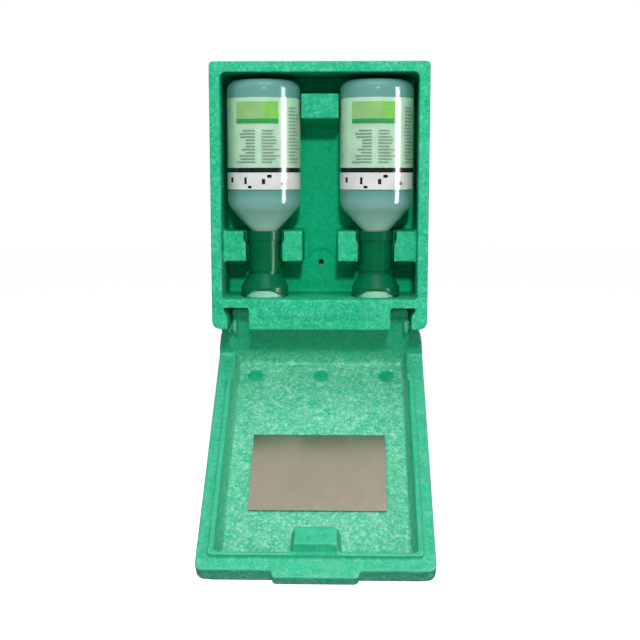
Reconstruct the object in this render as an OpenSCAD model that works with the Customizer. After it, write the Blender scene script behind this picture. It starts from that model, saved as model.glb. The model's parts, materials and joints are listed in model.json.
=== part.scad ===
// Wall-mounted eyewash station: a foam cabinet with a fold-down lid holds two
// upside-down eyewash bottles, ready to be pulled out towards the user.
// Frame: the origin is where the wall screw's hole leaves the back face, +Y runs
// into the wall, the front faces -Y and +Z is up. The lid is shown folded open.

/* [Bottles] */
// Diameter of a bottle
bottle_d = 71.5; // [58:0.5:86]
// Height of the bottle's straight body and shoulder, from the cone's end to the base
bottle_h = 145.2; // [121:0.1:175]
// Wall thickness of the bottle
bottle_wall = 1.2; // [0.8:0.1:1.6]
// Radius of the rounded edge of the bottle's base
base_r = 10; // [6:0.5:12]
// Outer diameter of the bottle's neck
neck_d = 26; // [22:0.5:27]
// Length of the neck inside the closure
neck_h = 17; // [14:0.5:20]
// Height of the air space above the saline
air_h = 8; // [6:0.5:20]

/* [Labels] */
// Thickness of the label film
label_t = 0.2; // [0.1:0.05:0.4]
// Height of the label
label_h = 86.8; // [72:0.2:90]
// Distance from the bottle's base to the top edge of the label
label_drop = 17.8; // [13:0.2:20]
// Angle that the label wraps
label_wrap = 320; // [240:5:340]

/* [Closures] */
// How far the closure's collar stands out from its sleeve
collar_lip = 1.4; // [1:0.1:2]
// Height of the closure's collar
collar_h = 9; // [7:0.5:11]
// Wall thickness of the closure around the bottle's thread
sleeve_wall = 1.8; // [1.6:0.1:2.4]
// Height of the closure's sleeve
sleeve_h = 30; // [26:0.5:35]
// Wall thickness of the closure and the eye cup
closure_wall = 2; // [1.6:0.1:2.4]
// Diameter of the eye cup at its rim
cup_d = 47; // [42:0.5:54]
// Height of the eye cup below the closure
cup_h = 24; // [22:0.1:28]
// Height of the arch in the eye cup's rim, which follows the eye socket
arch_h = 6.6; // [4:0.2:8]
// Width of the arch at the rim
arch_w = 37.6; // [32:0.2:40]
// Height of the dust cap below the eye cup's rim
cap_h = 1.8; // [1.4:0.1:2.4]

/* [Cabinet] */
// Gap between a bottle and the side wall
side_gap = 3.45; // [3:0.05:6]
// Gap between the two bottles
mid_gap = 38.9; // [34:0.1:50]
// Gap between a bottle and the back wall
back_gap = 2.25; // [2:0.25:5]
// Distance that the bottles stand out of the cabinet's front
bottle_proud = 3.75; // [0:0.25:6]
// Gap between a bottle's base and the top wall
head_gap = 5.4; // [5:0.1:9]
// Thickness of the side and top walls
wall_t = 10.6; // [9:0.1:13]
// Thickness of the back wall
back_t = 12; // [10:0.5:15]
// Thickness of the floor that the bottles stand on
floor_t = 8.7; // [7.5:0.1:11]
// Height of the side cheeks below the floor
cheek_h = 20.9; // [20:0.1:25]
// Thickness of the side cheeks
cheek_t = 15.5; // [14:0.5:18]
// Width of the front bar below the floor
bar_w = 138; // [116:1:164]
// Height that the wall screw's hole has above the foot of the cheeks
hole_h = 59.9; // [50:0.1:66]
// Diameter of the wall screw's hole
hole_d = 5.5; // [4.5:0.1:7]

/* [Bottle holders] */
// Gap on each side of the sleeve in its holder
grip_gap = 1.8; // [1:0.1:2.5]
// Width of the holder's inner arm
grip_w = 20.3; // [17:0.1:24]
// Height of the holders
grip_h = 30; // [25:0.5:35]
// Distance from the cabinet's front to the holders
grip_set = 20; // [16:0.5:23]

/* [Lid] */
// Depth of the lid's tray
tray_d = 19; // [17:0.5:24]
// Thickness of the lid's face
face_t = 9; // [8:0.5:11]
// Thickness of the lid's bottom wall, which swings behind the bar
plate_t = 6; // [5:0.5:7]
// Height of the tongue that fits inside the cabinet's front
tongue_h = 5.5; // [4:0.5:7]
// Thickness of the tongue
tongue_t = 4.8; // [4:0.2:6]
// Width of the handle tab
tab_w = 76; // [60:1:90]
// Angle that the lid opens
lid_angle = 126.4; // [120:0.1:127]
// Diameter of the hinge pivots
pivot_d = 8; // [7:0.5:9]

/* [Mirror] */
// Width of the mirror
mirror_w = 128.4; // [106:0.2:156]
// Height of the mirror
mirror_h = 89.6; // [74:0.2:108]
// Thickness of the mirror
mirror_t = 2; // [1.5:0.1:3]
// Thickness of the adhesive pads behind the mirror
pad_t = 0.8; // [0.5:0.1:1.2]

/* [Hidden] */
$fn = 96;

eps = 0.01;
run_gap = 0.05;              // running fit, on the radius
rest_gap = 0.3;              // between faces that rest near each other
fit_gap = 0.5;               // between foam faces that slip past each other
foam_gap = 1.1;              // between foam and a bottle beside it
label_gap = 0.05;            // between a bottle and its label

// places across: the bottles' axes and the foam walls
bottle_r = bottle_d / 2;
bottle_x = (mid_gap + bottle_d) / 2;
cavity_w = 2 * bottle_d + mid_gap + 2 * side_gap;
cab_w = cavity_w + 2 * wall_t;

// places in depth
bottle_y = -(back_t + back_gap + bottle_r);
cavity_d = back_gap + bottle_d - bottle_proud;
front_y = -(back_t + cavity_d);

// places in height, from the foot of the cheeks to the top
foot_z = -hole_h;
floor_z = foot_z + cheek_h + floor_t;
cap_z = floor_z + rest_gap;
cup_z = cap_z + cap_h;
sleeve_z = cup_z + cup_h;
collar_z = sleeve_z + sleeve_h;
bottle_z = collar_z + collar_h;
base_z = bottle_z + bottle_h;
ceiling_z = base_z + head_gap;
top_z = ceiling_z + wall_t;

// cabinet
cab_r = 4;                   // upper outer corners
foot_r = 8;                  // lower outer corners
cavity_r = 5;
cheek_x = cab_w / 2 - cheek_t;
bar_pad = [bar_w - 24, 16, 1];    // raised pad on the bar: width, height and depth
bar_pad_z = foot_z + 12;
dish_r = 14.5;               // shallow dish around the screw's hole
dish_d = 1.5;
ear_r = 7.5;                 // ears that carry the lid's pivots
ear_t = 10;
step_rise = 3;               // slope from the sleeve's channel to the collar's
step_out = 2.1;              // and how much wider it gets
divider_w = mid_gap - 2 * foam_gap;
divider_h = 24.4;
divider_drop = 12.5;         // below the bottle's base
divider_slope = 8;

// lid, drawn closed and then turned about its pivot
pivot_y = front_y + 38;
pivot_z = foot_z - 2.8;
lid_front = front_y - rest_gap;
tray_y = front_y - tray_d;
face_y = tray_y - face_t;
plate_z = foot_z - 6;
plate_end = 20;              // how far the bottom wall reaches behind the pivot
lid_foot = plate_z - plate_t;
// the bar's back stops the lid's bottom wall when the lid is open
bar_t = pivot_y - front_y + plate_end * cos(lid_angle) + (pivot_z - plate_z) * sin(lid_angle) - rest_gap;
lid_chamfer = [7, 12];       // of the lid's outer edges: inwards and in depth
lid_r = 8;
tongue_x = cavity_w / 2 - fit_gap;
tongue_top = ceiling_z - 0.9;
end_tongue_t = 3.6;          // thinner at the free end, to clear the bottles' bases
tongue_foot = pivot_z + fit_gap + sqrt(pow(norm([front_y - pivot_y, floor_z + fit_gap - pivot_z]), 2)
    - pow(pivot_y - front_y - tongue_h, 2));    // swings past the floor's front edge
tray_draft = 5;
latch_w = [44.4, 37.2];      // latch block: at its base and at its top
latch_h = 15;
latch_z = 18;
tab_h = 7.2;
tab_t = 12;
mark_r = 9.4;                // three round marks of the mould
mark_x = 68;
mark_z = foot_z + 10.5;
mark_d = 1.6;
mirror_z = foot_z + 91.6;
mirror_sink = 1.5;           // depth of the mirror's pocket
rib_t = 4.4;                 // ribs that carry the pivots
rib_r = 6.5;
plate_x = cheek_x - 1.1;

// closures and necks
neck_r = neck_d / 2;
neck_bore = neck_r - 2;
thread_r = neck_r + 0.9;
thread_gap = 0.1;
mouth_z = bottle_z - neck_h;
sleeve_r = thread_r + thread_gap + sleeve_wall;
collar_r = sleeve_r + collar_lip;
sleeve_bore = sleeve_r - closure_wall;
seal_t = 1;
turn_pitch = 4;              // thread
turn_h = 1.6;
web_t = 1.5;
web_z = mouth_z - seal_t - web_t;
web_hole_r = 6;
insert_r = 9;
insert_t = 1.5;
jet_r = 1.2;
jet_ring_r = 3.6;            // circle of the insert's jets
rose_ring_r = 6.2;           // circle of the rinse rose's holes
spigot_h = 9;
spigot_r = sleeve_bore - run_gap;
spigot_bore = 10;
rose_t = 1.6;
rose_z = sleeve_z + 3.2;
ring_r = 0.9;                // the twist seal's own thickness, as a radius
ring_z = sleeve_z + 6.5;
waist_h = 3.2;
waist_r = sleeve_r - 1.2;
cup_r = cup_d / 2;
rim_h = 7.8;                 // straight skirt of the eye cup
cap_r = cup_r - 3.4;
cap_side_h = 6.4;            // straight side of the dust cap
cap_edge = 5;                // its slanted upper edge
stem_gap = 0.3;

// shoulder of the bottle: a cone that meets the body in an arc
slope = 43;
blend = 16;

// lid, closed: radii and gaps of its own
lid_top = top_z;
flange_end = pivot_y - ear_r - fit_gap;
flange_top = foot_z - 1.5;
flange_x = cheek_x + 1.9;
rib_start = front_y + 14;
rib_stop = pivot_y + 12;

// Points of an arc round [x, y], from angle a to b
function arc(x, y, r, a, b, n = 8) =
    [for (i = [0:n]) [x + r * cos(a + (b - a) * i / n), y + r * sin(a + (b - a) * i / n)]];

// Half outline of the bottle upside down, grown inwards by t, from radius r0 up to the base
function bottle_outline(r0, t, r = bottle_r, edge = base_r) =
    let (
        turn_r = r - t - blend * (1 - cos(slope)),
        start_z = bottle_z + (r0 - neck_r + t / cos(slope)) / tan(slope),
        turn_z = bottle_z + (turn_r - neck_r + t / cos(slope)) / tan(slope) + blend * sin(slope)
    )
    concat(
        [[0, start_z], [r0, start_z]],
        arc(r - t - blend, turn_z, blend, -slope, 0),
        arc(r - edge, base_z - edge, edge - t, 0, 90),
        [[r * 0.62, base_z - t - 0.8], [0, base_z - t - 3]]);

// Closed outline centred on X, with its own radius at its lower and upper corners
module outline(w, h, r_low, r_high) {
    polygon(concat(
        arc(w / 2 - r_low, r_low, r_low, -90, 0),
        arc(w / 2 - r_high, h - r_high, r_high, 0, 90),
        arc(-w / 2 + r_high, h - r_high, r_high, 90, 180),
        arc(-w / 2 + r_low, r_low, r_low, 180, 270)));
}

// Prism of a front-view outline, from z0 to z1 in height and y0 to y1 in depth
module prism(w, z0, z1, y0, y1, r_low, r_high) {
    translate([0, y1, z0])
        rotate([90, 0, 0])
            linear_extrude(y1 - y0)
                outline(w, z1 - z0, r_low, r_high);
}

// Prism of a front-view polygon, from y0 to y1
module front_prism(points, y0, y1) {
    translate([0, y1, 0])
        rotate([90, 0, 0])
            linear_extrude(y1 - y0)
                polygon(points);
}

// Prism of a side-view polygon in Y and Z, from x0 to x1
module side_prism(points, x0, x1) {
    translate([x0, 0, 0])
        rotate([90, 0, 90])
            linear_extrude(x1 - x0)
                polygon(points);
}

// Cylinder along X on the lid's pivot axis
module pivot_cylinder(r, x0, x1) {
    translate([x0, pivot_y, pivot_z])
        rotate([0, 90, 0])
            cylinder(h = x1 - x0, r = r);
}

module ring(r_out, r_in, z, h) {
    translate([0, 0, z])
        difference() {
            cylinder(h = h, r = r_out);
            translate([0, 0, -1]) cylinder(h = h + 2, r = r_in);
        }
}

module both_sides() {
    children();
    mirror([1, 0, 0]) children();
}

// Places its children on the left (-1) or right (1) bottle's axis
module at_bottle(side) {
    translate([side * bottle_x, bottle_y, 0]) children();
}

// ---- cabinet ----

// Channel that a closure slides through, with a slanted step up to the collar's width
module holder_channel() {
    low_r = sleeve_r + grip_gap;
    high_r = low_r + step_out;
    half = [[low_r, bottle_z - grip_h - 1], [low_r, collar_z - step_rise], [high_r, collar_z],
        [high_r, bottle_z + 1]];
    at_bottle(1) {
        rotate_extrude()
            polygon(concat([[0, bottle_z - grip_h - 1]], half, [[0, bottle_z + 1]]));
        front_prism(concat(half, [for (i = [3:-1:0]) [-half[i][0], half[i][1]]]), -cavity_d, 0);
    }
}

module holder() {
    x0 = bottle_x - sleeve_r - grip_gap - grip_w;
    difference() {
        translate([x0, front_y + grip_set, bottle_z - grip_h])
            cube([cavity_w / 2 + eps - x0, cavity_d - grip_set + eps, grip_h]);
        holder_channel();
    }
}

// Block between the bottles, straight in front of their axes and hollowed behind them
module divider() {
    z1 = base_z - divider_drop;
    z0 = z1 - divider_h;
    y0 = front_y + grip_set;
    turn_y = bottle_y + 4;
    reach = divider_w / 2 + 12;
    difference() {
        union() {
            side_prism([[y0, z0], [turn_y + 2, z0], [turn_y + 2, z1], [y0, z1]],
                -divider_w / 2, divider_w / 2);
            side_prism([[turn_y, z0], [eps - back_t, z0 - divider_slope],
                [eps - back_t, z1], [turn_y, z1]], -reach, reach);
        }
        for (side = [-1, 1])
            at_bottle(side)
                translate([0, 0, z0 - 20])
                    cylinder(h = divider_h + 40, r = bottle_r + foam_gap);
    }
}

module cheek_ear() {
    pivot_cylinder(ear_r, cheek_x, cheek_x + ear_t);
    translate([cheek_x, pivot_y - ear_r, pivot_z])
        cube([ear_t, 2 * ear_r, foot_z - pivot_z + 1]);
}

module front_bar() {
    prism(bar_w, foot_z - 1, floor_z - 1, front_y, front_y + bar_t, 2, eps);
    prism(bar_pad[0], bar_pad_z, bar_pad_z + bar_pad[1], front_y - bar_pad[2], front_y + 1, 2, 2);
}

module cabinet_shell() {
    color([0.14, 0.73, 0.55])
        difference() {
            union() {
                difference() {
                    prism(cab_w, foot_z, top_z, front_y, 0, foot_r, cab_r);
                    prism(cavity_w, floor_z, ceiling_z, front_y - 1, -back_t, 2, cavity_r);
                    // space below the floor, where the lid's bottom wall swings
                    front_prism([
                        [cheek_x, foot_z - 1], [cheek_x, foot_z + cheek_h - 9],
                        [cavity_w / 2, foot_z + cheek_h], [-cavity_w / 2, foot_z + cheek_h],
                        [-cheek_x, foot_z + cheek_h - 9], [-cheek_x, foot_z - 1]],
                        front_y - 1, -back_t);
                }
                both_sides() {
                    holder();
                    cheek_ear();
                }
                divider();
                front_bar();
            }
            // wall screw's hole in its dish
            rotate([90, 0, 0]) translate([0, 0, -1]) cylinder(h = back_t + 2, d = hole_d);
            rotate([90, 0, 0]) translate([0, 0, back_t - dish_d]) cylinder(h = dish_d + 1, r = dish_r);
            both_sides()
                pivot_cylinder(pivot_d / 2 + run_gap, cheek_x - 1, cheek_x + ear_t);
        }
}

// ---- lid, drawn closed and then turned open ----

module opened() {
    translate([0, pivot_y, pivot_z])
        rotate([lid_angle, 0, 0])
            translate([0, -pivot_y, -pivot_z])
                children();
}

module lid_outside() {
    prism(cab_w, lid_foot, lid_top, face_y + lid_chamfer[1], lid_front, 6, lid_r);
    hull() {
        prism(cab_w, lid_foot, lid_top, face_y + lid_chamfer[1], face_y + lid_chamfer[1] + 1, 6, lid_r);
        prism(cab_w - 2 * lid_chamfer[0], lid_foot + lid_chamfer[0], lid_top - lid_chamfer[0],
            face_y, face_y + 1, 4, lid_r - 2);
    }
    prism(tab_w, lid_top - 2, lid_top + tab_h, lid_front - tab_t, lid_front, 2, 4.5);
    // tongue that enters the cabinet's front
    prism(2 * tongue_x, tongue_foot, tongue_top, lid_front - eps, front_y + tongue_h,
        1, cavity_r - 1);
}

module tray_space() {
    w = 2 * (tongue_x - tongue_t);
    z1 = tongue_top - end_tongue_t;
    hull() {
        prism(w, plate_z, z1, front_y + tongue_h, front_y + tongue_h + 1, 2, 4);
        prism(w - 2 * tray_draft, plate_z, z1 - tray_draft, tray_y, tray_y + 1, 2, 6);
    }
}

// Block on the free end that enters between the bottles
module latch_block() {
    z1 = tongue_top;
    prism(latch_w[0], z1 - latch_z - 8, z1 - 1, tray_y - eps, lid_front, 2, 1);
    hull() {
        prism(latch_w[0], z1 - latch_z - 8, z1, lid_front - 1, lid_front, 2, 2);
        prism(latch_w[1], z1 - latch_z - 5.4, z1 - 5.4, front_y + latch_h - 1, front_y + latch_h, 2, 2);
    }
}

// Bottom wall behind the rim, narrower where it passes between the cheeks
module lid_plate() {
    translate([0, 0, lid_foot])
        linear_extrude(plate_t)
            polygon(concat(
                [[-plate_x, lid_front - eps], [plate_x, lid_front - eps]],
                arc(plate_x - 4, pivot_y + plate_end - 4, 4, 0, 90),
                arc(4 - plate_x, pivot_y + plate_end - 4, 4, 90, 180)));
    both_sides()
        intersection() {
            front_prism([[plate_x - 1, lid_foot], [cab_w / 2, lid_foot], [cab_w / 2, flange_top],
                [flange_x, flange_top], [plate_x - 3, plate_z], [plate_x - 3, lid_foot]],
                lid_front - eps, flange_end);
            translate([0, 0, lid_foot - 1])
                linear_extrude(flange_top - lid_foot + 2)
                    polygon([[0, lid_front - 1], [cab_w / 2, lid_front - 1], [cab_w / 2 - 0.4, front_y + 6],
                        [cab_w / 2 - 2.5, front_y + 20], [cab_w / 2 - 6, flange_end], [0, flange_end]]);
        }
}

// Rib along the bottom wall's edge that carries the pivot
module pivot_rib() {
    pivot_cylinder(rib_r, plate_x - rib_t, plate_x);
    side_prism([[rib_start, plate_z - 1], [pivot_y - rib_r * 0.9, pivot_z + 1],
        [pivot_y, pivot_z], [pivot_y + rib_r * 0.9, pivot_z + 1], [rib_stop, plate_z - 1]],
        plate_x - rib_t, plate_x);
    pivot_cylinder(pivot_d / 2, plate_x - 1, cheek_x + ear_t - 1.5);
}

module lid_shell() {
    color([0.2, 0.76, 0.58])
        opened()
            difference() {
                union() {
                    difference() {
                        lid_outside();
                        tray_space();
                    }
                    latch_block();
                    lid_plate();
                    both_sides() pivot_rib();
                }
                prism(mirror_w + 1, mirror_z - 0.5, mirror_z + mirror_h + 0.5,
                    tray_y - mirror_sink, tray_y + 1, 1, 1);
                for (x = [-mark_x, 0, mark_x])
                    translate([x, tray_y + 1, mark_z])
                        rotate([90, 0, 0])
                            cylinder(h = 1 + mark_d, r = mark_r);
            }
}

module mirror_adhesive() {
    pad = 24;
    color("white")
        opened()
            for (x = [-1, 1], z = [0, 1])
                translate([x * (mirror_w / 2 - pad / 2 - 6) - pad / 2, tray_y - mirror_sink,
                    mirror_z + 6 + z * (mirror_h - pad - 12)])
                    cube([pad, pad_t, pad]);
}

module mirror_plate() {
    y0 = tray_y - mirror_sink + pad_t;
    color([0.66, 0.62, 0.54])
        opened()
            prism(mirror_w, mirror_z, mirror_z + mirror_h, y0, y0 + mirror_t, 0.5, 0.5);
}

// ---- bottles ----

module bottle(side) {
    color([0.72, 0.85, 0.83])
        at_bottle(side)
            difference() {
                union() {
                    rotate_extrude() polygon(bottle_outline(neck_r, 0));
                    translate([0, 0, mouth_z]) cylinder(h = neck_h + 0.5, r = neck_r);
                    for (turn = [0:2])
                        ring(thread_r, neck_r - 0.5, mouth_z + 3 + turn_pitch * turn, turn_h);
                }
                rotate_extrude() polygon(bottle_outline(neck_bore, bottle_wall));
                translate([0, 0, mouth_z - 1]) cylinder(h = neck_h + 2, r = neck_bore);
            }
}

module saline(side) {
    gap = 0.1;
    color([0.75, 0.9, 0.95])
        at_bottle(side)
            intersection() {
                union() {
                    rotate_extrude() polygon(bottle_outline(neck_bore - gap, bottle_wall + gap));
                    translate([0, 0, mouth_z]) cylinder(h = neck_h + 2, r = neck_bore - gap);
                }
                translate([0, 0, mouth_z]) cylinder(h = base_z - air_h - mouth_z, r = bottle_r);
            }
}

module label(side) {
    z0 = base_z - label_drop - label_h;
    color([0.86, 0.93, 0.87])
        at_bottle(side)
            translate([0, 0, z0])
                rotate([0, 0, 90 + (360 - label_wrap) / 2])
                    rotate_extrude(angle = label_wrap)
                        translate([bottle_r + label_gap, 0]) square([label_t, label_h]);
}

// ---- closures ----

module closure(side) {
    color([0, 0.38, 0.24])
        at_bottle(side)
            difference() {
                union() {
                    translate([0, 0, collar_z]) cylinder(h = collar_h, r = collar_r);
                    translate([0, 0, sleeve_z]) cylinder(h = sleeve_h + eps, r = sleeve_r);
                }
                translate([0, 0, web_z + web_t])
                    cylinder(h = bottle_z - web_z, r = thread_r + thread_gap);
                translate([0, 0, sleeve_z - 1]) cylinder(h = web_z - sleeve_z + 1, r = sleeve_bore);
                translate([0, 0, web_z - 1]) cylinder(h = web_t + 2, r = web_hole_r);
            }
}

module neck_seal(side) {
    color("white") at_bottle(side) ring(neck_r, neck_bore, mouth_z - seal_t, seal_t);
}

// Insert below the closure's web that lets the saline out in jets
module flow_insert(side) {
    color("white")
        at_bottle(side)
            difference() {
                union() {
                    translate([0, 0, web_z - insert_t]) cylinder(h = insert_t, r = insert_r);
                    translate([0, 0, web_z - eps]) cylinder(h = web_t, r = web_hole_r - 0.1);
                }
                for (a = [0:60:300])
                    rotate([0, 0, a])
                        translate([jet_ring_r, 0, web_z - insert_t - 1]) cylinder(h = 6, r = jet_r);
            }
}

module twist_seal(side) {
    color([0.1, 0.1, 0.1])
        at_bottle(side)
            translate([0, 0, ring_z])
                rotate_extrude()
                    translate([spigot_r - ring_r, 0]) circle(r = ring_r, $fn = 24);
}

// ---- eye cups ----

module eye_cup(side) {
    bowl_z = sleeve_z - waist_h;
    wall = closure_wall;
    arch_r = (pow(arch_w / 2, 2) + arch_h * arch_h) / (2 * arch_h);
    color([0, 0.4, 0.26])
        at_bottle(side)
            difference() {
                rotate_extrude()
                    polygon([
                        [spigot_bore, bowl_z], [cup_r - wall - 1, cup_z + rim_h], [cup_r - wall, cup_z],
                        [cup_r, cup_z], [cup_r, cup_z + rim_h], [sleeve_r, bowl_z],
                        [waist_r, bowl_z], [waist_r, sleeve_z - run_gap], [spigot_r, sleeve_z - run_gap],
                        [spigot_r, sleeve_z + spigot_h], [spigot_bore - 1.5, sleeve_z + spigot_h],
                        [spigot_bore - 1.5, rose_z + rose_t], [spigot_bore, rose_z + rose_t]]);
                // groove of the twist seal
                ring(spigot_r + 1, spigot_r - 2 * ring_r - 0.1, ring_z - ring_r - 0.1, 2 * ring_r + 0.2);
                // arch in the rim
                translate([0, 0, cup_z + arch_h - arch_r])
                    rotate([90, 0, 0])
                        cylinder(h = 2 * cup_d, r = arch_r, center = true, $fn = 360);
            }
}

module rinse_rose(side) {
    color("white")
        at_bottle(side)
            translate([0, 0, rose_z])
                difference() {
                    cylinder(h = rose_t, r = spigot_bore - run_gap);
                    for (a = [0:45:315])
                        rotate([0, 0, a])
                            translate([rose_ring_r, 0, -1]) cylinder(h = rose_t + 2, r = jet_r);
                }
}

// Cap that keeps dust out of the eye cup and stands on the cabinet's floor
module dust_cap(side) {
    stem_z = sleeve_z - waist_h - 4;
    color([0.66, 0.88, 0.76])
        at_bottle(side)
            difference() {
                rotate_extrude()
                    polygon([
                        [0, cap_z], [cap_r, cap_z], [cap_r, cap_z + cap_side_h],
                        [cap_r - cap_edge, cap_z + cap_side_h + 0.7 * cap_edge],
                        [spigot_bore - stem_gap, stem_z], [spigot_bore - stem_gap, rose_z - 1],
                        [0, rose_z - 1]]);
                translate([0, 0, cap_z - 1]) cylinder(h = 2.5, r = cap_r - 3);
            }
}

cabinet_shell();
lid_shell();
mirror_plate();  // mirror
mirror_adhesive();
bottle(-1);  // bottle_left
bottle(1);  // bottle_right
saline(-1);  // saline_left
saline(1);  // saline_right
label(-1);  // label_left
label(1);  // label_right
closure(-1);  // closure_left
closure(1);  // closure_right
neck_seal(-1);  // neck_seal_left
neck_seal(1);  // neck_seal_right
flow_insert(-1);  // flow_insert_left
flow_insert(1);  // flow_insert_right
eye_cup(-1);  // eye_cup_left
eye_cup(1);  // eye_cup_right
twist_seal(-1);  // twist_seal_left
twist_seal(1);  // twist_seal_right
rinse_rose(-1);  // rinse_rose_left
rinse_rose(1);  // rinse_rose_right
dust_cap(-1);  // dust_cap_left
dust_cap(1);  // dust_cap_right
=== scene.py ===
import json
import math
import random

import bmesh
import bpy
from mathutils import Matrix, Vector


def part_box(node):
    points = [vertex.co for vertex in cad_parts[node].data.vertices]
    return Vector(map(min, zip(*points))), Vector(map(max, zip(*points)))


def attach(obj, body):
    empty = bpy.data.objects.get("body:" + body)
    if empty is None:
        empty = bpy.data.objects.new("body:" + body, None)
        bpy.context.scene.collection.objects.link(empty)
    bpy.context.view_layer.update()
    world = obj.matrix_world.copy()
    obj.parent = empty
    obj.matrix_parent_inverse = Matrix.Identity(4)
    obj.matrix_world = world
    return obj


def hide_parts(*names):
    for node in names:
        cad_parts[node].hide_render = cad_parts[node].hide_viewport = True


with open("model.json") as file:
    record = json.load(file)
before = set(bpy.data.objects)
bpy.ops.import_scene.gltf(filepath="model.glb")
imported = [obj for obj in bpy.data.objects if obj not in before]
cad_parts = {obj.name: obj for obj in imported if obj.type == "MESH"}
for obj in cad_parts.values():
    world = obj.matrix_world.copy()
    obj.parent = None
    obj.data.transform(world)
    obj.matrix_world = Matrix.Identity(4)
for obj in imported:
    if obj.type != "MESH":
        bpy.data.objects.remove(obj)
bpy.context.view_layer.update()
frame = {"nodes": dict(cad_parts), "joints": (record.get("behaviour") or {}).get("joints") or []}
nodes = frame["nodes"]
scene = bpy.context.scene
MM = 0.001
SIDES = ("left", "right")


# ---- shader helpers ----

def material(name, **values):
    """New material; its Principled shader's inputs are given with _ for a space."""
    mat = bpy.data.materials.new(name)
    mat.use_nodes = True
    shader = mat.node_tree.nodes["Principled BSDF"]
    for key, value in values.items():
        shader.inputs[key.replace("_", " ")].default_value = value
    return mat


class Tree:
    """Short calls for the node tree of one material."""

    def __init__(self, mat):
        self.nodes, self.links = mat.node_tree.nodes, mat.node_tree.links
        self.shader = self.nodes["Principled BSDF"]
        self.place = self.nodes.new("ShaderNodeTexCoord").outputs["Object"]

    def feed(self, socket, value):
        if isinstance(value, bpy.types.NodeSocket):
            self.links.new(value, socket)
        else:
            socket.default_value = value

    def noise(self, size, detail=3, rough=0.5):
        n = self.nodes.new("ShaderNodeTexNoise")
        n.inputs["Scale"].default_value = 1 / size
        n.inputs["Detail"].default_value = detail
        n.inputs["Roughness"].default_value = rough
        self.links.new(self.place, n.inputs["Vector"])
        return n.outputs["Fac"]

    def cells(self, size, feature="F1"):
        n = self.nodes.new("ShaderNodeTexVoronoi")
        n.feature = feature
        n.inputs["Scale"].default_value = 1 / size
        if feature == "SMOOTH_F1":
            n.inputs["Smoothness"].default_value = 0.3
        self.links.new(self.place, n.inputs["Vector"])
        return n.outputs

    def span(self, value, lo, hi, to_lo=0.0, to_hi=1.0):
        n = self.nodes.new("ShaderNodeMapRange")
        self.links.new(value, n.inputs["Value"])
        for key, v in (("From Min", lo), ("From Max", hi), ("To Min", to_lo), ("To Max", to_hi)):
            n.inputs[key].default_value = v
        return n.outputs["Result"]

    def math(self, kind, a, b):
        n = self.nodes.new("ShaderNodeMath")
        n.operation = kind
        self.feed(n.inputs[0], a)
        self.feed(n.inputs[1], b)
        return n.outputs[0]

    def mix(self, amount, a, b):
        n = self.nodes.new("ShaderNodeMix")
        n.data_type = "RGBA"
        self.feed(n.inputs[0], amount)
        self.feed(n.inputs[6], a)
        self.feed(n.inputs[7], b)
        return n.outputs[2]

    def pointiness(self):
        return self.nodes.new("ShaderNodeNewGeometry").outputs["Pointiness"]

    def along(self, direction):
        n = self.nodes.new("ShaderNodeVectorMath")
        n.operation = "DOT_PRODUCT"
        self.links.new(self.place, n.inputs[0])
        n.inputs[1].default_value = direction
        return n.outputs["Value"]

    def split(self, vector):
        n = self.nodes.new("ShaderNodeSeparateXYZ")
        self.links.new(vector, n.inputs[0])
        return n.outputs

    def bump(self, height, distance, strength=1.0, normal=None):
        n = self.nodes.new("ShaderNodeBump")
        n.inputs["Strength"].default_value = strength
        n.inputs["Distance"].default_value = distance
        self.links.new(height, n.inputs["Height"])
        if normal:
            self.links.new(normal, n.inputs["Normal"])
        return n.outputs["Normal"]

    def set(self, key, value):
        self.feed(self.shader.inputs[key], value)


BEAD = 3.2 * MM


def foam(name, base, pale, deep, gloss, inward, near, far, least):
    """Moulded foam of domed beads, each a little lighter or darker, with pale flecks, and pale convex
    edges that are painted highlights.

    The flecks fade from full at near to least at far, measured in metres along inward; this fade is
    painted light, with paler faces at near as painted sheen and darker faces at far as painted shade."""
    mat = material(name, Specular_IOR_Level=gloss)
    t = Tree(mat)
    bead = t.split(t.cells(BEAD)["Color"])
    tone = t.span(bead[0], 0.1, 0.9)
    light_bead = t.span(bead[1], 0.6, 0.95)
    patches = t.span(t.noise(11 * MM, 3, 0.6), 0.40, 0.64)
    fleck = t.span(t.noise(2.0 * MM, 2, 0.6), 0.48, 0.66)
    colour = t.mix(t.math("MULTIPLY", tone, 0.7), base, deep)
    amount = t.math("ADD", t.math("MULTIPLY", patches, 0.18), t.math("MULTIPLY", fleck, 0.36))
    amount = t.math("ADD", amount, t.math("MULTIPLY", light_bead, 0.28))
    amount = t.math("ADD", amount, 0.06)
    # painted light: fewer pale flecks along inward, so faces at near read lit or glossed and faces at
    # far read shaded
    painted_light_fade = t.span(t.along(inward), near, far, 1.0, least)
    # painted highlight: convex edges turn pale as if catching the light
    edge = t.math("MULTIPLY", t.span(t.pointiness(), 0.515, 0.58), 0.4)
    paleness = t.math("MAXIMUM", t.math("MULTIPLY", amount, painted_light_fade), edge)
    t.set("Base Color", t.mix(paleness, colour, pale))
    t.set("Roughness", t.span(t.noise(5 * MM, 2), 0.3, 0.7, 0.42, 0.6))
    dome = t.cells(BEAD, "SMOOTH_F1")["Distance"]
    normal = t.bump(t.math("MULTIPLY", dome, -1.0), 0.6 * MM, 0.38)
    t.set("Normal", t.bump(t.noise(0.9 * MM, 2), 0.15 * MM, 0.4, normal))
    return mat


def plastic(name, colour, rough, grain=0.02, **more):
    """Moulded plastic: faint tone changes, and a gloss that varies a little."""
    mat = material(name, **more)
    t = Tree(mat)
    worn = t.span(t.noise(12 * MM, 3), 0.35, 0.7)
    dark = tuple(c * 0.86 for c in colour[:3]) + (1,)
    t.set("Base Color", t.mix(worn, colour, dark))
    t.set("Roughness", t.span(t.noise(6 * MM, 3), 0.3, 0.7, rough * 0.85, rough * 1.2))
    t.set("Normal", t.bump(t.noise(1.5 * MM, 2), grain * MM, 0.5))
    return mat


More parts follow.
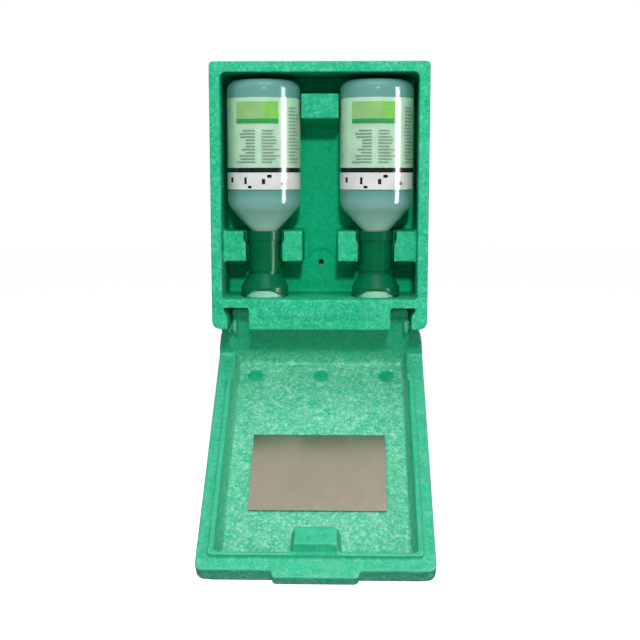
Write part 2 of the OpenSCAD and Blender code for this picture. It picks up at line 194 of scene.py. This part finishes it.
# the lid is packed open: closed shuts it, opened opens it again
hinge = next(j for j in frame["joints"] if j["name"] == "lid_hinge")
pivot = Vector(hinge["pos_m"])
shut_turn = Matrix.Rotation(math.radians(hinge["range_deg"][0]), 4, "X")
closed = Matrix.Translation(pivot) @ shut_turn @ Matrix.Translation(-pivot)
opened = closed.inverted()
tray_up = opened.to_3x3() @ Vector((0, 1, 0))
TRAY_FLOOR = -101 * MM                    # its place along Y with the lid shut
floor_level = (opened @ Vector((0, TRAY_FLOOR, -60 * MM))).dot(tray_up)

FOAMS = {
    # most flecked on its front faces; the fewer flecks deeper inside are painted shade in the interior
    "cabinet_shell": foam(
        "cabinet_foam", (0.0005, 0.41, 0.185, 1), (0.12, 0.66, 0.45, 1), (0.0002, 0.32, 0.135, 1),
        gloss=0.05, inward=(0, 1, 0), near=-75 * MM, far=-15 * MM, least=0.06),
    # most flecked on the tray's floor, as painted sheen where the floor faces the overhead light
    "lid_shell": foam(
        "lid_foam", (0.006, 0.46, 0.24, 1), (0.42, 0.80, 0.64, 1), (0.003, 0.38, 0.19, 1),
        gloss=0.3, inward=tray_up, near=floor_level + 2 * MM, far=floor_level + 22 * MM, least=0.22),
}
SMOOTH_FOAM = foam(
    "smooth_foam", (0.002, 0.38, 0.18, 1), (0.05, 0.54, 0.33, 1), (0.001, 0.31, 0.14, 1),
    gloss=0.2, inward=(0, 1, 0), near=0, far=1, least=0.3)
SHADE = plastic("hole_shade", (0.002, 0.03, 0.015, 1), 0.8)
CLOSURE = plastic("closure_plastic", (0.0008, 0.125, 0.046, 1), 0.26, Specular_IOR_Level=0.1)
CUP = plastic("cup_plastic", (0.0010, 0.135, 0.054, 1), 0.26, Specular_IOR_Level=0.14)
DUST = plastic("dust_cap_plastic", (0.30, 0.68, 0.47, 1), 0.4, Subsurface_Weight=0.15,
               Subsurface_Scale=0.003)
SALINE = plastic("saline", (0.14, 0.48, 0.42, 1), 0.1, 0.001, Alpha=0.4, IOR=1.33)
LABEL = plastic("label_film", (0.44, 0.69, 0.49, 1), 0.2, 0.005)
SEAL = plastic("seal_foam", (0.75, 0.76, 0.74, 1), 0.6)
INSERT = plastic("insert_plastic", (0.72, 0.74, 0.72, 1), 0.4)
RING = plastic("o_ring_rubber", (0.02, 0.02, 0.02, 1), 0.45)
PAD = plastic("adhesive_foam", (0.70, 0.70, 0.67, 1), 0.7, 0.05)


def bottle_wall():
    """See-through moulded wall with a green sheen, paler and less clear towards its neck end, where
    painted light stands for light shining through it.
    """
    mat = material("bottle_plastic", Alpha=0.5, IOR=1.5, Sheen_Weight=0.35, Sheen_Roughness=0.4,
                   Sheen_Tint=(0.10, 0.75, 0.45, 1))
    t = Tree(mat)
    # painted light: full at the neck end and fading to none higher up; it pales the colour and raises
    # the alpha
    painted_glow = t.span(t.along((0, 0, 1)), 0.036, 0.070, 1.0, 0.0)
    t.set("Base Color", t.mix(painted_glow, (0.19, 0.48, 0.44, 1), (0.62, 0.95, 0.82, 1)))
    t.set("Alpha", t.span(painted_glow, 0, 1, 0.5, 0.62))
    t.set("Roughness", t.span(t.noise(6 * MM, 3), 0.3, 0.7, 0.10, 0.15))
    t.set("Normal", t.bump(t.noise(9 * MM, 2), 0.12 * MM, 0.5))
    return mat


BOTTLE = bottle_wall()


def mirror_glass():
    """Glass mirror, faintly hazed."""
    mat = material("mirror_glass", Metallic=1.0, Specular_IOR_Level=0.5)
    t = Tree(mat)
    haze = t.span(t.noise(40 * MM, 3), 0.35, 0.7)
    t.set("Base Color", t.mix(haze, (0.51, 0.465, 0.365, 1), (0.475, 0.435, 0.34, 1)))
    t.set("Roughness", t.span(t.noise(9 * MM, 4), 0.3, 0.8, 0.13, 0.17))
    return mat


MIRROR = mirror_glass()

FINISHES = {"closure": CLOSURE, "eye_cup": CUP, "dust_cap": DUST, "bottle": BOTTLE, "saline": SALINE,
            "label": LABEL, "neck_seal": SEAL, "flow_insert": INSERT, "rinse_rose": INSERT,
            "twist_seal": RING}


# ---- pieces that replace or refine the frame's solids ----

def use(obj, mat):
    obj.data.materials.clear()
    obj.data.materials.append(mat)


VOXEL = 1.3 * MM
ROUNDS = 3                                # of smoothing
KEEP = 0.35                               # share of the triangles
SKIN_IN = 0.15 * MM                       # keeps the fits clear where smoothing fills hollow corners


def soften(node, body, turn=None):
    """Copy of a foam solid with its edges rounded as a mould leaves them.

    turn squares the solid to the axes while it is remeshed."""
    mesh = nodes[node].data.copy()
    work = bmesh.new()
    work.from_mesh(mesh)
    bmesh.ops.remove_doubles(work, verts=work.verts, dist=2e-6)
    work.to_mesh(mesh)
    work.free()
    if turn:
        mesh.transform(turn)
    obj = bpy.data.objects.new("foam_" + node, mesh)
    scene.collection.objects.link(obj)
    remesh = obj.modifiers.new("remesh", "REMESH")
    remesh.mode = "VOXEL"
    remesh.voxel_size = VOXEL
    smooth = obj.modifiers.new("smooth", "SMOOTH")
    smooth.factor = 0.5
    smooth.iterations = ROUNDS
    fewer = obj.modifiers.new("fewer", "DECIMATE")
    fewer.ratio = KEEP
    graph = bpy.context.evaluated_depsgraph_get()
    made = bpy.data.meshes.new_from_object(obj.evaluated_get(graph))
    obj.modifiers.clear()
    obj.data = made
    for v, out in [(v, v.normal.copy()) for v in made.vertices]:
        v.co -= out * SKIN_IN
    if turn:
        made.transform(turn.inverted())
    for p in made.polygons:
        p.use_smooth = True
    obj.modifiers.new("normals", "WEIGHTED_NORMAL").keep_sharp = True
    use(obj, FOAMS[node])
    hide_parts(node)
    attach(obj, body)


soften("cabinet_shell", "cabinet")
soften("lid_shell", "lid", closed)


def disc(name, body, mat, centre, normal, radius, thick, dome=0.0):
    """Round disc with a rounded edge; dome lifts its middle."""
    work = bmesh.new()
    steps, segments = 6, 48
    rings = []
    for i in range(1, steps + 1):
        f = i / steps
        lift = thick + dome * (1 - f * f) if i < steps else 0
        rings.append([work.verts.new((radius * f * math.cos(2 * math.pi * k / segments),
                                      radius * f * math.sin(2 * math.pi * k / segments), lift))
                      for k in range(segments)])
    top = work.verts.new((0, 0, thick + dome))
    for k in range(segments):
        n = (k + 1) % segments
        work.faces.new((top, rings[0][k], rings[0][n]))
        for low, high in zip(rings, rings[1:]):
            work.faces.new((low[k], high[k], high[n], low[n]))
    work.faces.new(list(reversed(rings[-1])))
    bmesh.ops.recalc_face_normals(work, faces=work.faces)
    mesh = bpy.data.meshes.new(name)
    work.to_mesh(mesh)
    work.free()
    facing = Vector(normal).to_track_quat("Z", "Y").to_matrix().to_4x4()
    mesh.transform(Matrix.Translation(centre) @ facing)
    for p in mesh.polygons:
        p.use_smooth = len(p.vertices) < 5
    obj = bpy.data.objects.new(name, mesh)
    scene.collection.objects.link(obj)
    use(obj, mat)
    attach(obj, body)


# a dark disc at the far end of the wall screw's hole is painted shade, so the hole reads dark instead
# of showing the backdrop through it
disc("hole_painted_shade", "cabinet", SHADE, (0, -1.2 * MM, 0), (0, -1, 0), 2.7 * MM, 0.5 * MM)

# the mould's three round marks in the tray's floor are smoother than the foam round them
MARK_DEPTH = 1.6 * MM
MARK_Z = -49.4 * MM                       # with the lid shut
for i, x in enumerate((-68 * MM, 0, 68 * MM)):
    spot = opened @ Vector((x, TRAY_FLOOR - MARK_DEPTH, MARK_Z))
    disc(f"mould_mark_{i + 1}", "lid", SMOOTH_FOAM, spot, tray_up,
         8.6 * MM, 0.3 * MM, 0.25 * MM)

use(nodes["mirror"], MIRROR)
use(nodes["mirror_adhesive"], PAD)
for side in SIDES:
    for kind, mat in FINISHES.items():
        use(nodes[f"{kind}_{side}"], mat)


# ---- label print ----

PRINT = {
    "pale": plastic("print_pale_green", (0.26, 0.52, 0.19, 1), 0.15, 0.005),
    "bright": plastic("print_bright_green", (0.20, 0.58, 0.08, 1), 0.15, 0.005),
    "dark": plastic("print_dark_green", (0.03, 0.33, 0.09, 1), 0.15, 0.005),
    "black": plastic("print_black", (0.012, 0.014, 0.014, 1), 0.15, 0.005),
    "white": plastic("print_white", (0.70, 0.72, 0.71, 1), 0.15, 0.005),
    "grey": plastic("print_grey", (0.20, 0.30, 0.23, 1), 0.35, 0.01),
}
FILM_T = 0.05 * MM
FILM_SUNK = 0.02 * MM


def label_print(side):
    """Print of one label, as thin films on it: plain blocks, bars for the small print, plain marks."""
    lo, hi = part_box(f"label_{side}")
    axis = (lo + hi) / 2
    radius = (hi.x - lo.x) / 2
    work = bmesh.new()
    slots = list(PRINT)

    def film(colour, x0, x1, top, bottom, lift=1):
        """x in degrees to the right of the front, heights in millimetres below the label's top."""
        steps = max(2, int((x1 - x0) / 3))
        rings = []
        for i in range(steps + 1):
            a = math.radians(x0 + (x1 - x0) * i / steps)
            for r in (radius - FILM_SUNK, radius + FILM_T * lift):
                x, y = axis.x + r * math.sin(a), axis.y - r * math.cos(a)
                for z in (hi.z - bottom * MM, hi.z - top * MM):
                    rings.append(work.verts.new((x, y, z)))
        for i in range(steps):
            a, b, c, d = rings[4 * i:4 * i + 4]
            e, f, g, h = rings[4 * i + 4:4 * i + 8]
            for quad in ((c, g, h, d), (a, b, f, e), (a, e, g, c), (b, d, h, f)):
                work.faces.new(quad).material_index = slots.index(colour)
        for a, b, c, d in (rings[:4], rings[-4:]):
            work.faces.new((a, c, d, b)).material_index = slots.index(colour)

    film("pale", -42, 6, 4, 20)
    film("bright", 6, 27, 4, 20)
    film("dark", -42, 27, 20, 24)
    film("pale", 11, 22, 8, 10, 2)
    film("pale", 11, 18, 13, 15, 2)
    rng = random.Random(7)
    for i in range(11):
        top = 30.5 + i * 2.95
        film("grey", -9 - rng.uniform(14, 34), -9, top, top + 1.1)
        film("grey", 1, 1 + rng.uniform(16, 30), top, top + 1.1)
    for i in range(17):
        top = 9 + i * 3.2
        film("grey", -88, -88 + rng.uniform(10, 24), top, top + 1.1)
        film("grey", 46, 46 + rng.uniform(14, 32), top, top + 1.1)
    film("black", -95, 95, 66, 70.5)
    film("white", -95, 95, 70.5, 86.6)
    for x, top, w, h in ((-27, 75, 4, 6.5), (-57, 75, 6, 5), (-21, 83, 6, 2.5), (1, 76.5, 5, 5),
                         (9, 72.5, 7, 3), (31, 79.5, 10, 3)):
        film("black", x, x + w, top, top + h, 2)
    bmesh.ops.recalc_face_normals(work, faces=work.faces)
    mesh = bpy.data.meshes.new(f"label_print_{side}")
    work.to_mesh(mesh)
    work.free()
    for p in mesh.polygons:
        p.use_smooth = False
    obj = bpy.data.objects.new(f"label_print_{side}", mesh)
    for colour in slots:
        mesh.materials.append(PRINT[colour])
    scene.collection.objects.link(obj)
    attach(obj, f"bottle_{side}")


for side in SIDES:
    label_print(side)


# ---- stage, light and camera ----

def light(name, place, target, size, reach, size_y=None, gloss_only=False, no_gloss=False):
    """Softbox aimed at target. A reach of 1 shows what faces it there in its own colour."""
    way = Vector(target) - Vector(place)
    lamp = bpy.data.lights.new(name, "AREA")
    lamp.shape = "RECTANGLE"
    lamp.size, lamp.size_y = size, size_y or size
    lamp.energy = reach * math.pi ** 2 * way.length_squared
    obj = bpy.data.objects.new(name, lamp)
    obj.location = place
    obj.rotation_euler = way.to_track_quat("-Z", "Y").to_euler()
    obj.visible_diffuse = not gloss_only
    obj.visible_glossy = not no_gloss
    scene.collection.objects.link(obj)


# the backdrop is white to the camera, and dim as a light
world = bpy.data.worlds.new("studio")
world.use_nodes = True
sky = world.node_tree.nodes["Background"]
sky.inputs["Color"].default_value = (1, 1, 1, 1)
ray = world.node_tree.nodes.new("ShaderNodeLightPath")
level = world.node_tree.nodes.new("ShaderNodeMapRange")
level.inputs["To Min"].default_value = 0.1
level.inputs["To Max"].default_value = 1.0
world.node_tree.links.new(ray.outputs["Is Camera Ray"], level.inputs["Value"])
world.node_tree.links.new(level.outputs["Result"], sky.inputs["Strength"])
scene.world = world

floor_mesh = bpy.data.meshes.new("studio_floor")
work = bmesh.new()
bmesh.ops.create_circle(work, cap_ends=True, segments=96, radius=12)
work.to_mesh(floor_mesh)
work.free()
floor = bpy.data.objects.new("studio_floor", floor_mesh)
floor.location = (0, 0, -0.8)
floor.visible_diffuse = floor.visible_glossy = floor.visible_transmission = False
scene.collection.objects.link(floor)
use(floor, plastic("floor_paint", (0.9, 0.9, 0.9, 1), 0.8,
                   Emission_Color=(1, 1, 1, 1), Emission_Strength=0.9))

light("key", (0.12, -2.1, 0.95), (0, -0.08, 0.0), 0.16, 0.60)
light("low_fill", (0.0, -1.8, -0.88), (0, -0.12, -0.1), 0.3, 0.45, no_gloss=True)
light("front_fill", (0.0, -2.0, -0.1), (0, -0.08, 0.0), 1.2, 0.11, no_gloss=True)
light("overhead", (0.1, -0.78, 1.5), (0, -0.12, 0.0), 0.9, 0.30)
light("left_fill", (-1.3, -0.7, 0.6), (0, -0.1, -0.05), 0.7, 0.2, no_gloss=True)
light("right_fill", (1.3, -0.9, 0.5), (0, -0.1, -0.05), 0.7, 0.2, no_gloss=True)
light("back_fill", (0.7, 1.6, 0.7), (0, 0, 0), 0.8, 0.3, no_gloss=True)
light("strip", (1.30, -0.58, 0.15), (0.02, -0.06, 0.08), 0.32, 1.9, 1.1, gloss_only=True)
light("ceiling_card", (0, -0.1, 1.2), (0, -0.16, -0.18), 0.7, 0.05)

camera = bpy.data.cameras.new("camera")
camera.lens = 59.135
camera.sensor_width = 36
camera.clip_start = 0.05
view = bpy.data.objects.new("camera", camera)
view.location = (0.02499, -1.09416, 0.09117)
view.rotation_euler = (math.radians(90 - 7.955), 0, math.radians(1.379))
scene.collection.objects.link(view)
scene.camera = view
scene.view_settings.view_transform = "Standard"
